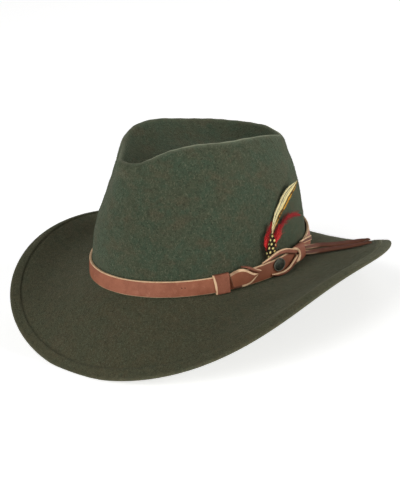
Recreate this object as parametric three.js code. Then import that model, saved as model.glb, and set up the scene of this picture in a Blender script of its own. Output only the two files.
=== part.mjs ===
// A wide-brimmed wool felt hat with a pinched crown, a leather band and a bunch of feathers.
// Millimetres, +Z up. The front is -Y and the wearer's left is +X, where the feathers are.
// The hat rests on its brim at z = 0, with the origin under the middle of its box.

import * as THREE from "three";
import { mergeVertices } from "three/addons/utils/BufferGeometryUtils.js";

// Felt
const FELT_THICKNESS = 2.2;
const BREAK_HEIGHT = 46; // where crown and brim meet, above the surface the hat rests on
const BRIM_WIDTH = 75; // at the front and sides
const WELT_WIDTH = 9; // the brim's edge, folded over on top
const WELT_RISE = 0.8;
const WELT_STEP = 0.9;
const WELT_ROWS = 2; // of the brim's grid, counted from its edge

// Width of the brim, and its slope in degrees at the break and at the edge, by angle from the
// front. The wearer's left side is turned up a little more than the right.
const BRIM_STATIONS = [
  { at: 0, width: 75.5, leftBreak: -28, leftEdge: -50, rightBreak: -28, rightEdge: -50 },
  { at: 30, width: 75, leftBreak: -25, leftEdge: -35, rightBreak: -25, rightEdge: -19 },
  { at: 60, width: 75, leftBreak: -15, leftEdge: 3, rightBreak: -13, rightEdge: 16 },
  { at: 90, width: 75, leftBreak: -8, leftEdge: 32, rightBreak: -6, rightEdge: 20 },
  { at: 120, width: 73.5, leftBreak: -8, leftEdge: 20, rightBreak: -6, rightEdge: 2 },
  { at: 150, width: 70.5, leftBreak: -10, leftEdge: -22, rightBreak: -11, rightEdge: -23 },
  { at: 180, width: 74.4, leftBreak: -22.5, leftEdge: -59.5, rightBreak: -22.5, rightEdge: -59.5 },
];

// Level sections of the crown's outside, from the break up to the ridge and down into the crease.
// "square" is the superellipse power of the back half, and "dent" the share of the half width
// that the two front pinches take away.
const CROWN_OUTLINES = [
  { halfWidth: 86, front: 100, back: 100, square: 2, dent: 0 },
  { halfWidth: 84.5, front: 97.5, back: 98.5, square: 2, dent: 0 },
  { halfWidth: 82, front: 92.5, back: 97, square: 2, dent: 0.04 },
  { halfWidth: 74.5, front: 82.5, back: 95.3, square: 2.06, dent: 0.17 },
  { halfWidth: 67, front: 75.5, back: 92.7, square: 2.12, dent: 0.25 },
  { halfWidth: 60, front: 75, back: 91, square: 2.23, dent: 0.29 },
  { halfWidth: 56, front: 72, back: 87, square: 2.28, dent: 0.3 },
  { halfWidth: 51.5, front: 67.5, back: 82, square: 2.28, dent: 0.29 },
  { halfWidth: 36, front: 59, back: 68.6, square: 2.23, dent: 0.2 },
  { halfWidth: 18, front: 50, back: 50, square: 2, dent: 0.08 },
  { halfWidth: 6, front: 44, back: 38, square: 2, dent: 0 },
];

// Heights of the same sections above the break, how far the front dips, and the share of the
// ridge's own rise and fall that each takes.
const CROWN_HEIGHTS = [
  { zFront: 0, zSide: 0, zBack: 0, notch: 0, share: 0 },
  { zFront: 18, zSide: 18, zBack: 18, notch: 0, share: 0 },
  { zFront: 42, zSide: 42, zBack: 42, notch: 0, share: 0 },
  { zFront: 72, zSide: 72, zBack: 70, notch: 2, share: 0.3 },
  { zFront: 96, zSide: 94, zBack: 81, notch: 6.5, share: 0.7 },
  { zFront: 113, zSide: 107.5, zBack: 92, notch: 13, share: 1 },
  { zFront: 117.5, zSide: 111.5, zBack: 95.5, notch: 15, share: 1 },
  { zFront: 113.5, zSide: 107.5, zBack: 92.5, notch: 14.5, share: 1 },
  { zFront: 97, zSide: 95, zBack: 86, notch: 8, share: 0.6 },
  { zFront: 88, zSide: 88, zBack: 82, notch: 2, share: 0.2 },
  { zFront: 86, zSide: 86, zBack: 80, notch: 0, share: 0 },
];

// The ridge's rise and fall by angle from the front: it isn't the same on both sides.
const RIDGE_STATIONS = [
  { at: 0, left: 0, right: 0 },
  { at: 30, left: -1, right: -6 },
  { at: 60, left: 2, right: -4.5 },
  { at: 90, left: -0.5, right: 1.3 },
  { at: 120, left: -4.5, right: -1.5 },
  { at: 150, left: -5, right: 0.5 },
  { at: 180, left: 0.5, right: 0.5 },
];
const CROWN_SECTIONS = CROWN_OUTLINES.map((row, i) => ({ ...row, ...CROWN_HEIGHTS[i] }));
const RIDGE_SECTION = 6;
const PINCH_AT = 35; // degrees from the front
const PINCH_SPREAD = 26;
const NOTCH_SPREAD = 35;

// Leather. Lifts are distances of a piece's inner face from the felt.
const GAP = 0.35;
const BAND_WIDTH = 13;
const BAND_THICKNESS = 2;
const BRAID_THICKNESS = 1.5;
const LOOP_THICKNESS = 1.6;
const TAIL_THICKNESS = 1.6;
const KEEPER_WALL = 0.9;
const SLIDE_KEEPER = { from: 54, to: 61.5 };
const KNOT_KEEPER = { from: 103, to: 109.6, low: 4.3, high: 17.6, near: 2.7, far: 7.3 };

// Foot of the band above the break, and its lift, by angle from the front through the left side.
// It stands off the felt and rides up a little behind the knot.
const BAND_PATH = [
  { at: 0, foot: 1.6, lift: 0.35 },
  { at: 60, foot: 1.6, lift: 0.35 },
  { at: 112, foot: 1.6, lift: 0.35 },
  { at: 135, foot: 3.6, lift: 1.3 },
  { at: 165, foot: 5, lift: 1.3 },
  { at: 200, foot: 4.4, lift: 0.8 },
  { at: 240, foot: 3, lift: 0.35 },
  { at: 300, foot: 1.6, lift: 0.35 },
  { at: 360, foot: 1.6, lift: 0.35 },
];

// Pieces that lie on the band: the angle and height of their middle line, lift and width.
const LEAF_PATH = [
  { at: 62.7, height: 8.6, lift: 2.65, width: 13.2 },
  { at: 65, height: 9.4, lift: 2.65, width: 14.6 },
  { at: 67.5, height: 9.7, lift: 2.65, width: 15.2 },
  { at: 70, height: 8.7, lift: 2.65, width: 13 },
  { at: 72, height: 7.9, lift: 2.65, width: 10 },
  { at: 74, height: 7.7, lift: 2.65, width: 6 },
  { at: 76.5, height: 8.4, lift: 2.65, width: 0.8 },
];
const CROSS_PATH = [
  { at: 68, height: 18.7, lift: 2.65, width: 1 },
  { at: 70.5, height: 17.3, lift: 2.65, width: 2 },
  { at: 72.5, height: 15.6, lift: 2.65, width: 2.6 },
  { at: 74.5, height: 13.5, lift: 2.65, width: 2.8 },
  { at: 77, height: 11.4, lift: 2.65, width: 2.4 },
  { at: 78.4, height: 10.8, lift: 2.65, width: 1.2 },
];
const UPPER_LOOP_PATH = [
  { at: 79.5, height: 16.1, lift: 3.2, width: 1.2 },
  { at: 82.5, height: 17.6, lift: 4.3, width: 2.2 },
  { at: 86.5, height: 19.3, lift: 4.7, width: 3.2 },
  { at: 90.5, height: 19.8, lift: 4.3, width: 3.8 },
  { at: 95, height: 18.6, lift: 4.1, width: 4.2 },
  { at: 99.5, height: 15.8, lift: 4.1, width: 4.2 },
  { at: 103, height: 13.6, lift: 4.15, width: 3.8 },
  { at: 106.4, height: 13.1, lift: 4.15, width: 3.7 },
];
const LOWER_LOOP_PATH = [
  { at: 85, height: 3.6, lift: 2.7, width: 1.6 },
  { at: 88, height: 2.3, lift: 3.2, width: 2.6 },
  { at: 92, height: 1.7, lift: 3.8, width: 3 },
  { at: 96.5, height: 2.8, lift: 4, width: 3.2 },
  { at: 100.5, height: 5.7, lift: 4.1, width: 3.4 },
  { at: 103.5, height: 7.9, lift: 4.15, width: 3.4 },
  { at: 106.4, height: 8.2, lift: 4.15, width: 3.6 },
];
const STRAP_END_PATH = [
  { at: 110.4, height: 16.3, lift: 2.75, width: 3 },
  { at: 117, height: 14.6, lift: 3.4, width: 3.8 },
  { at: 124, height: 12.2, lift: 4.8, width: 4.2 },
];

// Tails of the braid, over the brim: angle, distance out from the break, height above it,
// width, and how far the face is turned up from standing on edge.
const UPPER_TAIL_PATH = [
  { at: 107.2, out: 4, height: 13, width: 3.6, turn: 0 },
  { at: 110.8, out: 4.3, height: 12.4, width: 3.7, turn: 0 },
  { at: 117.5, out: 8, height: 8.6, width: 4, turn: 30 },
  { at: 123.5, out: 12, height: 5.2, width: 4, turn: 45 },
  { at: 127.1, out: 22, height: 2.9, width: 4.3, turn: 50 },
  { at: 129.9, out: 35, height: 2.1, width: 4.5, turn: 50 },
  { at: 131.2, out: 46, height: 2, width: 4.5, turn: 50 },
  { at: 130.9, out: 53, height: 2.6, width: 1.5, turn: 50 },
];
const LOWER_TAIL_PATH = [
  { at: 107.2, out: 4.45, height: 8.2, width: 3.6, turn: 0 },
  { at: 110.8, out: 4.75, height: 7.8, width: 3.7, turn: 0 },
  { at: 116, out: 8.5, height: 4.4, width: 4, turn: 35 },
  { at: 121, out: 13.5, height: 1.8, width: 4, turn: 50 },
  { at: 125, out: 24, height: 0.6, width: 4.2, turn: 55 },
  { at: 127.6, out: 37, height: 0.7, width: 4.4, turn: 55 },
  { at: 128.6, out: 47, height: 1.6, width: 4.4, turn: 55 },
  { at: 128.6, out: 53, height: 2.6, width: 1.5, turn: 55 },
];

// Feathers, tucked behind the upper loop. They stand off the crown: they face a direction between the
// crown's own at each place and its direction at the feathers' foot.
const FEATHER_THICKNESS = 0.6;
const FEATHER_FOOT = { at: 86.5, height: 25 };
const FEATHER_STIFFNESS = 0.6;
const LONG_FEATHER_PATH = [
  { at: 85.8, height: 15.6, lift: 0.5, width: 1.2 },
  { at: 87, height: 26, lift: 0.5, width: 1.3 },
  { at: 90.1, height: 36.8, lift: 0.5, width: 1.8 },
  { at: 91.4, height: 40.9, lift: 0.6, width: 5 },
  { at: 95.3, height: 47.7, lift: 0.9, width: 7.5 },
  { at: 98.8, height: 51.7, lift: 1.3, width: 9 },
  { at: 101.9, height: 55.2, lift: 2, width: 10.4 },
  { at: 104.9, height: 58.6, lift: 2.9, width: 10.2 },
  { at: 107.8, height: 60.9, lift: 3.8, width: 8.4 },
  { at: 111.1, height: 62.7, lift: 4.8, width: 6 },
  { at: 115, height: 64.9, lift: 6.2, width: 1.2 },
];
const PLUME_PATH = [
  { at: 86.6, height: 15.6, lift: 1.45, width: 2.4 },
  { at: 88.5, height: 25, lift: 1.5, width: 3.5 },
  { at: 91.6, height: 32, lift: 1.6, width: 6 },
  { at: 95.9, height: 38.5, lift: 1.9, width: 6.6 },
  { at: 99.1, height: 41.2, lift: 2.3, width: 6 },
  { at: 101.9, height: 42.8, lift: 2.8, width: 5 },
  { at: 105.3, height: 42.9, lift: 3.4, width: 4.3 },
  { at: 108.5, height: 41.4, lift: 4.1, width: 2.8 },
  { at: 111.7, height: 39.4, lift: 4.8, width: 1 },
];
const HACKLE_PATH = [
  { at: 84.8, height: 15.6, lift: 2.35, width: 2.4 },
  { at: 84.6, height: 23.7, lift: 2.4, width: 4.6 },
  { at: 83.6, height: 29.8, lift: 2.45, width: 6 },
  { at: 84.8, height: 35.4, lift: 2.55, width: 6.2 },
  { at: 86.8, height: 39.9, lift: 2.65, width: 4.8 },
  { at: 88.9, height: 45.5, lift: 2.8, width: 1.2 },
];
const GUINEA_PATH = [
  { at: 84.9, height: 16.1, lift: 3.25, width: 6 },
  { at: 85, height: 19, lift: 3.25, width: 9 },
  { at: 85.1, height: 22.1, lift: 3.4, width: 11 },
  { at: 86.2, height: 27.4, lift: 3.5, width: 9.6 },
  { at: 87.2, height: 32.3, lift: 3.7, width: 6.4 },
  { at: 87.4, height: 36.6, lift: 3.8, width: 1.2 },
];

// Pin: a plain low dome, oval along the band. Radii are shares of its half length and half width.
const PIN = { at: 90.5, height: 9.3, lift: 2.65, length: 13.6, width: 10.8 };
const PIN_PROFILE = [
  { radius: 0.94, rise: 0 },
  { radius: 1, rise: 0.4 },
  { radius: 0.95, rise: 1 },
  { radius: 0.84, rise: 1.1 },
  { radius: 0.6, rise: 1.45 },
  { radius: 0.3, rise: 1.65 },
  { radius: 0.08, rise: 1.7 },
];
const PIN_SIDES = 28;

// Faceting
const ROUND_STEPS = 72;
const BRIM_STEPS = 8;
const STEPS_PER_SECTION = [1, 2, 2, 2, 1, 1, 1, 2, 2, 1];
const STEPS_PER_ROW = 3;
const KEEPER_STEPS = 4;
const PROFILE_STEPS = 40;
const BISECTIONS = 24;
const NUDGE = 0.01;
const MERGE_DISTANCE = 0.001;

// Brings the middle of the hat's box over the origin
const SHIFT_X = 0.77;
const SHIFT_Y = 1.53;

// Finishes
const FELT = { color: 0x45493a, roughness: 0.95, metalness: 0 };
const STRAP_LEATHER = { color: 0x976350, roughness: 0.6, metalness: 0 };
const KEEPER_LEATHER = { color: 0x8a5a49, roughness: 0.55, metalness: 0 };
const TAIL_LEATHER = { color: 0x5f3d2d, roughness: 0.6, metalness: 0 };
const PIN_METAL = { color: 0x3a3b38, roughness: 0.4, metalness: 1 };
const CREAM_FEATHER = { color: 0xd9c98a, roughness: 0.8, metalness: 0 };
const RED_FEATHER = { color: 0xa01f20, roughness: 0.8, metalness: 0 };
const DOTTED_FEATHER = { color: 0x2b2617, roughness: 0.8, metalness: 0 };

const DEGREE = Math.PI / 180;

// Value at an angle of a cosine series through equally spaced stations from front to back.
function seriesAround(values, theta) {
  const last = values.length - 1;
  let total = 0;
  for (let k = 0; k <= last; k += 1) {
    let term = 0;
    for (let j = 0; j <= last; j += 1) {
      const share = j === 0 || j === last ? 0.5 : 1;
      term += share * values[j] * Math.cos((Math.PI * k * j) / last);
    }
    const share = k === 0 || k === last ? 0.5 : 1;
    total += (2 / last) * share * term * Math.cos(k * theta);
  }
  return total;
}

function sideAt(theta) {
  return Math.sin(theta) < 0 ? "right" : "left";
}

// Angle from the front, 0 to 180 degrees, the same on both sides.
function fromFront(theta) {
  return Math.acos(Math.cos(theta)) / DEGREE;
}

function ridgeRise(theta) {
  const side = sideAt(theta);
  return seriesAround(RIDGE_STATIONS.map((row) => row[side]), theta);
}

// Point of a crown section at an angle round the head.
function sectionPoint(section, theta) {
  const c = Math.cos(theta);
  const s = Math.sin(theta);
  const power = c > 0 ? 2 : section.square;
  const reach = (Math.abs(c) ** power + Math.abs(s) ** power) ** (-1 / power);
  const degrees = fromFront(theta);
  const pinch = 1 - section.dent * Math.exp(-(((degrees - PINCH_AT) / PINCH_SPREAD) ** 2));
  const along = Math.abs(c) * reach;
  const zEnd = c > 0 ? section.zFront : section.zBack;
  const dip = section.notch * Math.exp(-((degrees / NOTCH_SPREAD) ** 2));
  const rise = section.share * ridgeRise(theta);
  return new THREE.Vector3(
    section.halfWidth * s * reach * pinch,
    c > 0 ? -section.front * along : section.back * along,
    BREAK_HEIGHT + section.zSide + (zEnd - section.zSide) * along ** 2 - dip + rise,
  );
}

// Curve up one meridian of the crown, through all its sections.
function meridian(theta) {
  const points = CROWN_SECTIONS.map((section) => sectionPoint(section, theta));
  return new THREE.CatmullRomCurve3(points, false, "centripetal");
}

function crownRows() {
  const rows = [];
  const last = CROWN_SECTIONS.length - 1;
  STEPS_PER_SECTION.forEach((steps, index) => {
    for (let k = 1; k <= steps; k += 1) {
      rows.push((index + k / steps) / last);
    }
  });
  return rows;
}

// Level direction straight out from the break at an angle round the head.
function outwardAt(theta) {
  const ahead = sectionPoint(CROWN_SECTIONS[0], theta + NUDGE);
  const behind = sectionPoint(CROWN_SECTIONS[0], theta - NUDGE);
  return new THREE.Vector3(ahead.y - behind.y, behind.x - ahead.x, 0).normalize();
}

// Points of the brim's upper face at one angle, from the break outwards.
function brimProfile(theta, steps) {
  const outward = outwardAt(theta);
  const side = sideAt(theta);
  const start = seriesAround(BRIM_STATIONS.map((row) => row[side + "Break"]), theta);
  const end = seriesAround(BRIM_STATIONS.map((row) => row[side + "Edge"]), theta);
  const width = seriesAround(BRIM_STATIONS.map((row) => row.width), theta);
  const fine = PROFILE_STEPS;
  const path = [sectionPoint(CROWN_SECTIONS[0], theta)];
  for (let k = 0; k < fine; k += 1) {
    const slope = (start + ((end - start) * (k + 0.5)) / fine) * DEGREE;
    const step = width / fine;
    const next = path[k].clone().addScaledVector(outward, Math.cos(slope) * step);
    next.z += Math.sin(slope) * step;
    path.push(next);
  }
  return steps.map((share) => {
    const place = share * fine;
    const low = Math.min(Math.floor(place), fine - 1);
    return path[low].clone().lerp(path[low + 1], place - low);
  });
}

// Shares of the brim's width where its rows lie, with two rows at the step of the welt.
function brimRows() {
  const foot = 1 - (WELT_WIDTH + WELT_STEP) / BRIM_WIDTH;
  const head = 1 - WELT_WIDTH / BRIM_WIDTH;
  const rows = [1, head, foot];
  for (let k = BRIM_STEPS - 1; k >= 0; k -= 1) {
    rows.push((foot * k) / BRIM_STEPS);
  }
  return rows;
}

// Grid of the upper face: rows from the brim's edge to the crease, columns round the head.
function feltGrid() {
  const brim = brimRows();
  const crown = crownRows();
  const columns = [];
  for (let j = 0; j < ROUND_STEPS; j += 1) {
    const theta = (2 * Math.PI * j) / ROUND_STEPS;
    const curve = meridian(theta);
    columns.push([...brimProfile(theta, brim), ...crown.map((share) => curve.getPoint(share))]);
  }
  const rows = [];
  for (let i = 0; i < columns[0].length; i += 1) {
    rows.push(columns.map((column) => column[i]));
  }
  return rows;
}

// Normals of a grid that closes round its columns.
function gridNormals(rows) {
  return rows.map((row, i) =>
    row.map((point, j) => {
      const count = row.length;
      const up = rows[Math.min(i + 1, rows.length - 1)][j].clone().sub(rows[Math.max(i - 1, 0)][j]);
      const round = row[(j + 1) % count].clone().sub(row[(j - 1 + count) % count]);
      return round.cross(up).normalize();
    }),
  );
}

// Closed solid between two grids of the same shape, with a rim at the first row
// and each grid's last row closed across the middle.
function shellGeometry(outer, inner) {
  const positions = [];
  const count = outer[0].length;
  for (const grid of [outer, inner]) {
    for (const row of grid) {
      for (const point of row) {
        positions.push(point.x, point.y, point.z);
      }
    }
  }
  const indices = [];
  const offset = outer.length * count;
  const quad = (a, b, c, d) => indices.push(a, b, c, a, c, d);
  for (let i = 0; i < outer.length - 1; i += 1) {
    for (let j = 0; j < count; j += 1) {
      const next = (j + 1) % count;
      quad(i * count + j, i * count + next, (i + 1) * count + next, (i + 1) * count + j);
      quad(
        offset + (i + 1) * count + j,
        offset + (i + 1) * count + next,
        offset + i * count + next,
        offset + i * count + j,
      );
    }
  }
  for (let j = 0; j < count; j += 1) {
    const next = (j + 1) % count;
    quad(offset + j, offset + next, next, j);
  }
  const lastRow = (outer.length - 1) * count;
  for (let j = 0; j < count / 2; j += 1) {
    const mirror = (count - j) % count;
    const mirrorNext = count - j - 1;
    if (j === 0) {
      indices.push(lastRow, lastRow + 1, lastRow + mirrorNext);
      indices.push(offset + lastRow, offset + lastRow + mirrorNext, offset + lastRow + 1);
    } else if (j === count / 2 - 1) {
      indices.push(lastRow + j, lastRow + j + 1, lastRow + mirror);
      indices.push(offset + lastRow + j, offset + lastRow + mirror, offset + lastRow + j + 1);
    } else {
      quad(lastRow + j, lastRow + j + 1, lastRow + mirrorNext, lastRow + mirror);
      quad(
        offset + lastRow + mirror,
        offset + lastRow + mirrorNext,
        offset + lastRow + j + 1,
        offset + lastRow + j,
      );
    }
  }
  const geometry = new THREE.BufferGeometry();
  geometry.setAttribute("position", new THREE.Float32BufferAttribute(positions, 3));
  geometry.setIndex(indices);
  return mergeVertices(geometry, MERGE_DISTANCE);
}

// The felt body: crown and brim in one, with the welt standing proud along the edge.
function feltGeometry() {
  const middle = feltGrid();
  const normals = gridNormals(middle);
  const outer = middle.map((row, i) =>
    row.map((point, j) => point.clone().addScaledVector(normals[i][j], i < WELT_ROWS ? WELT_RISE : 0)),
  );
  const inner = middle.map((row, i) =>
    row.map((point, j) => point.clone().addScaledVector(normals[i][j], -FELT_THICKNESS)),
  );
  for (const row of [outer[0], inner[0]]) {
    for (const point of row) {
      point.z = Math.max(point.z, 0);
    }
  }
  return shellGeometry(outer, inner);
}

// Point of the crown's outside at an angle and a height above the break.
function crownPoint(theta, height) {
  const curve = meridian(theta);
  let low = 0;
  let high = RIDGE_SECTION / (CROWN_SECTIONS.length - 1);
  for (let k = 0; k < BISECTIONS; k += 1) {
    const middle = (low + high) / 2;
    if (curve.getPoint(middle).z - BREAK_HEIGHT < height) {
      low = middle;
    } else {
      high = middle;
    }
  }
  return curve.getPoint(low);
}

// Place on the crown, lifted off the felt, with the felt's outward normal there.
function crownPlace(at, height, lift) {
  const theta = at * DEGREE;
  const here = crownPoint(theta, height);
  const round = crownPoint(theta + NUDGE, height).sub(crownPoint(theta - NUDGE, height));
  const up = crownPoint(theta, height + 1).sub(crownPoint(theta, Math.max(height - 1, 0)));
  const normal = round.cross(up).normalize();
  return { point: here.addScaledVector(normal, lift), normal };
}

// Place beside the break, out over the brim, with a normal turned up from level.
function brimPlace(at, out, height, turn) {
  const theta = at * DEGREE;
  const outward = outwardAt(theta);
  const point = sectionPoint(CROWN_SECTIONS[0], theta).addScaledVector(outward, out);
  point.z += height;
  const normal = outward.multiplyScalar(Math.cos(turn * DEGREE));
  normal.z = Math.sin(turn * DEGREE);
  return { point, normal };
}

// Smooth value of a table's column part way between its rows.
function smooth(rows, column, place) {
  const i = Math.min(Math.floor(place), rows.length - 2);
  const t = place - i;
  const value = (k) => rows[Math.min(Math.max(k, 0), rows.length - 1)][column];
  const [a, b, c, d] = [value(i - 1), value(i), value(i + 1), value(i + 2)];
  return b + 0.5 * t * (c - a + t * (2 * a - 5 * b + 4 * c - d + t * (3 * (b - c) + d - a)));
}

// Solid swept through equal sections, each a loop of points that runs anticlockwise as seen
// from ahead. The flat outline of the first section shapes the two ends.
function sweptGeometry(sections, outline) {
  const count = outline.length;
  const positions = sections.flat().flatMap((point) => [point.x, point.y, point.z]);
  const indices = [];
  for (let i = 0; i < sections.length - 1; i += 1) {
    for (let j = 0; j < count; j += 1) {
      const next = (j + 1) % count;
      const [a, b] = [i * count + j, i * count + next];
      indices.push(a, b, b + count, a, b + count, a + count);
    }
  }
  const ahead = (sections.length - 1) * count;
  for (const [a, b, c] of THREE.ShapeUtils.triangulateShape(outline, [])) {
    indices.push(a, c, b);
    indices.push(ahead + a, ahead + b, ahead + c);
  }
  return indexedGeometry(positions, indices);
}

// Sleeve with two open ends, between an outer and an inner loop at every section.
function sleeveGeometry(outer, inner) {
  const count = outer[0].length;
  const positions = [...outer, ...inner].flat().flatMap((point) => [point.x, point.y, point.z]);
  const offset = outer.length * count;
  const indices = [];
  const quad = (a, b, c, d) => indices.push(a, b, c, a, c, d);
  for (let i = 0; i < outer.length - 1; i += 1) {
    const [start, ahead] = [i * count, (i + 1) * count];
    for (let j = 0; j < count; j += 1) {
      const next = (j + 1) % count;
      quad(start + j, start + next, ahead + next, ahead + j);
      quad(offset + ahead + j, offset + ahead + next, offset + start + next, offset + start + j);
    }
  }
  const last = (outer.length - 1) * count;
  for (let j = 0; j < count; j += 1) {
    const next = (j + 1) % count;
    quad(offset + j, offset + next, next, j);
    quad(last + j, last + next, offset + last + next, offset + last + j);
  }
  return indexedGeometry(positions, indices);
}

function indexedGeometry(positions, indices) {
  const geometry = new THREE.BufferGeometry();
  geometry.setAttribute("position", new THREE.Float32BufferAttribute(positions, 3));
  geometry.setIndex(indices);
  return geometry;
}

// Points of a loop given as heights and lifts, at one angle on the crown.
function crownLoop(at, loop) {
  return loop.map(([height, lift]) => crownPlace(at, height, lift).point);
}

// Corners of the band's section at an angle, as heights and lifts.
function bandSection(at) {
  const after = BAND_PATH.findIndex((row) => row.at > at);
  const [start, end] = [BAND_PATH[after - 1].at, BAND_PATH[after].at];
  const place = after - 1 + (at - start) / (end - start);
  const foot = smooth(BAND_PATH, "foot", place);
  const lift = Math.max(smooth(BAND_PATH, "lift", place), GAP);
  return [
    [foot, lift],
    [foot + BAND_WIDTH, lift],
    [foot + BAND_WIDTH, lift + BAND_THICKNESS],
    [foot, lift + BAND_THICKNESS],
  ];
}

// The band: a flat strap closed round the crown.
function bandGeometry() {
  const positions = [];
  const indices = [];
  for (let i = 0; i < ROUND_STEPS; i += 1) {
    const at = (360 * i) / ROUND_STEPS;
    const corners = crownLoop(at, bandSection(at));
    const count = corners.length;
    for (const point of corners) {
      positions.push(point.x, point.y, point.z);
    }
    const start = i * count;
    const ahead = ((i + 1) % ROUND_STEPS) * count;
    for (let j = 0; j < count; j += 1) {
      const next = (j + 1) % count;
      indices.push(start + j, start + next, ahead + next, start + j, ahead + next, ahead + j);
    }
  }
  return indexedGeometry(positions, indices);
}

// Strip with a flat section, along places with a width each.
function stripGeometry(places, thickness) {
  const outline = [[-1, -1], [1, -1], [1, 1], [-1, 1]];
  const sections = places.map((place, i) => {
    const before = places[Math.max(i - 1, 0)].point;
    const after = places[Math.min(i + 1, places.length - 1)].point;
    const along = after.clone().sub(before).normalize();
    const across = place.normal.clone().cross(along).normalize();
    const out = along.clone().cross(across);
    return outline.map(([side, face]) =>
      place.point
        .clone()
        .addScaledVector(across, (side * place.width) / 2)
        .addScaledVector(out, (face * thickness) / 2),
    );
  });
  return sweptGeometry(
    sections,
    outline.map(([x, y]) => new THREE.Vector2(x, y)),
  );
}

function crownPlaces(rows, thickness) {
  const places = [];
  for (let k = 0; k <= (rows.length - 1) * STEPS_PER_ROW; k += 1) {
    const [at, height, lift, width] = ["at", "height", "lift", "width"].map((column) =>
      smooth(rows, column, k / STEPS_PER_ROW),
    );
    places.push({ ...crownPlace(at, height, lift + thickness / 2), width });
  }
  return places;
}

function crownStrip(rows, thickness) {
  return stripGeometry(crownPlaces(rows, thickness), thickness);
}

function featherGeometry(rows) {
  const facing = crownPlace(FEATHER_FOOT.at, FEATHER_FOOT.height, 0).normal;
  const places = crownPlaces(rows, FEATHER_THICKNESS);
  for (const place of places) {
    place.normal.lerp(facing, FEATHER_STIFFNESS).normalize();
  }
  return stripGeometry(places, FEATHER_THICKNESS);
}

function brimStrip(rows, thickness) {
  const places = [];
  for (let k = 0; k <= (rows.length - 1) * STEPS_PER_ROW; k += 1) {
    const [at, out, height, width, turn] = ["at", "out", "height", "width", "turn"].map((column) =>
      smooth(rows, column, k / STEPS_PER_ROW),
    );
    places.push({ ...brimPlace(at, out, height, turn), width });
  }
  return stripGeometry(places, thickness);
}

// Angles from one end of a keeper to the other.
function keeperAngles(keeper) {
  const angles = [];
  for (let k = 0; k <= KEEPER_STEPS; k += 1) {
    angles.push(keeper.from + ((keeper.to - keeper.from) * k) / KEEPER_STEPS);
  }
  return angles;
}

// The slide keeper: a loop over the band's face, with legs past its two edges.
function slideKeeperGeometry() {
  const low = BAND_PATH[0].foot - GAP;
  const high = BAND_PATH[0].foot + BAND_WIDTH + GAP;
  const near = GAP + BAND_THICKNESS + GAP;
  const loop = [
    [low - KEEPER_WALL, GAP],
    [low, GAP],
    [low, near],
    [high, near],
    [high, GAP],
    [high + KEEPER_WALL, GAP],
    [high + KEEPER_WALL, near + KEEPER_WALL],
    [low - KEEPER_WALL, near + KEEPER_WALL],
  ];
  return sweptGeometry(
    keeperAngles(SLIDE_KEEPER).map((at) => crownLoop(at, loop)),
    loop.map(([height, lift]) => new THREE.Vector2(height, lift)),
  );
}

// The knot keeper: a flat sleeve round the two strands of the braid.
function knotKeeperGeometry() {
  const { low, high, near, far } = KNOT_KEEPER;
  const loopAt = (inset) => [
    [low + inset, near + inset],
    [high - inset, near + inset],
    [high - inset, far - inset],
    [low + inset, far - inset],
  ];
  const angles = keeperAngles(KNOT_KEEPER);
  const outer = angles.map((at) => crownLoop(at, loopAt(0)));
  const inner = angles.map((at) => crownLoop(at, loopAt(KEEPER_WALL)));
  return sleeveGeometry(outer, inner);
}

// The pin: oval rings, one over the other, set on the band's face.
function pinGeometry() {
  const { point, normal } = crownPlace(PIN.at, PIN.height, PIN.lift);
  const along = new THREE.Vector3(0, 0, 1).cross(normal).normalize();
  const across = normal.clone().cross(along);
  const outline = [];
  for (let k = 0; k < PIN_SIDES; k += 1) {
    const turn = (2 * Math.PI * k) / PIN_SIDES;
    outline.push(new THREE.Vector2(Math.cos(turn), Math.sin(turn)));
  }
  const rings = PIN_PROFILE.map((row) =>
    outline.map(({ x, y }) =>
      point
        .clone()
        .addScaledVector(along, (x * row.radius * PIN.length) / 2)
        .addScaledVector(across, (y * row.radius * PIN.width) / 2)
        .addScaledVector(normal, row.rise),
    ),
  );
  return sweptGeometry(rings, outline);
}

const hat = new THREE.Group();

function add(name, geometry, finish) {
  geometry.translate(SHIFT_X, SHIFT_Y, 0);
  const mesh = new THREE.Mesh(geometry, new THREE.MeshStandardMaterial(finish));
  mesh.name = name;
  hat.add(mesh);
}

add("felt_body", feltGeometry(), FELT);
add("band_strap", bandGeometry(), STRAP_LEATHER);
add("slide_keeper", slideKeeperGeometry(), KEEPER_LEATHER);
add("braid_leaf", crownStrip(LEAF_PATH, BRAID_THICKNESS), STRAP_LEATHER);
add("braid_cross", crownStrip(CROSS_PATH, BRAID_THICKNESS), KEEPER_LEATHER);
add("eye_loop_upper", crownStrip(UPPER_LOOP_PATH, LOOP_THICKNESS), KEEPER_LEATHER);
add("eye_loop_lower", crownStrip(LOWER_LOOP_PATH, LOOP_THICKNESS), KEEPER_LEATHER);
add("knot_keeper", knotKeeperGeometry(), KEEPER_LEATHER);
add("strap_end", crownStrip(STRAP_END_PATH, BRAID_THICKNESS), TAIL_LEATHER);
add("tail_upper", brimStrip(UPPER_TAIL_PATH, TAIL_THICKNESS), TAIL_LEATHER);
add("tail_lower", brimStrip(LOWER_TAIL_PATH, TAIL_THICKNESS), TAIL_LEATHER);
add("band_pin", pinGeometry(), PIN_METAL);
add("feather_long", featherGeometry(LONG_FEATHER_PATH), CREAM_FEATHER);
add("feather_plume", featherGeometry(PLUME_PATH), RED_FEATHER);
add("feather_hackle", featherGeometry(HACKLE_PATH), RED_FEATHER);
add("feather_guinea", featherGeometry(GUINEA_PATH), DOTTED_FEATHER);

export default hat;
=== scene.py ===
"""Looks of the wool felt hat with its leather band and feathers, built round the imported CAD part.

Lengths in the tables are millimetres and become metres when a mesh is made. +Z is up, the front is
-Y and the wearer's left, with the feathers, is +X.
"""
import math

import bmesh
import bpy
import numpy as np
from mathutils import Matrix, Vector


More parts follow.
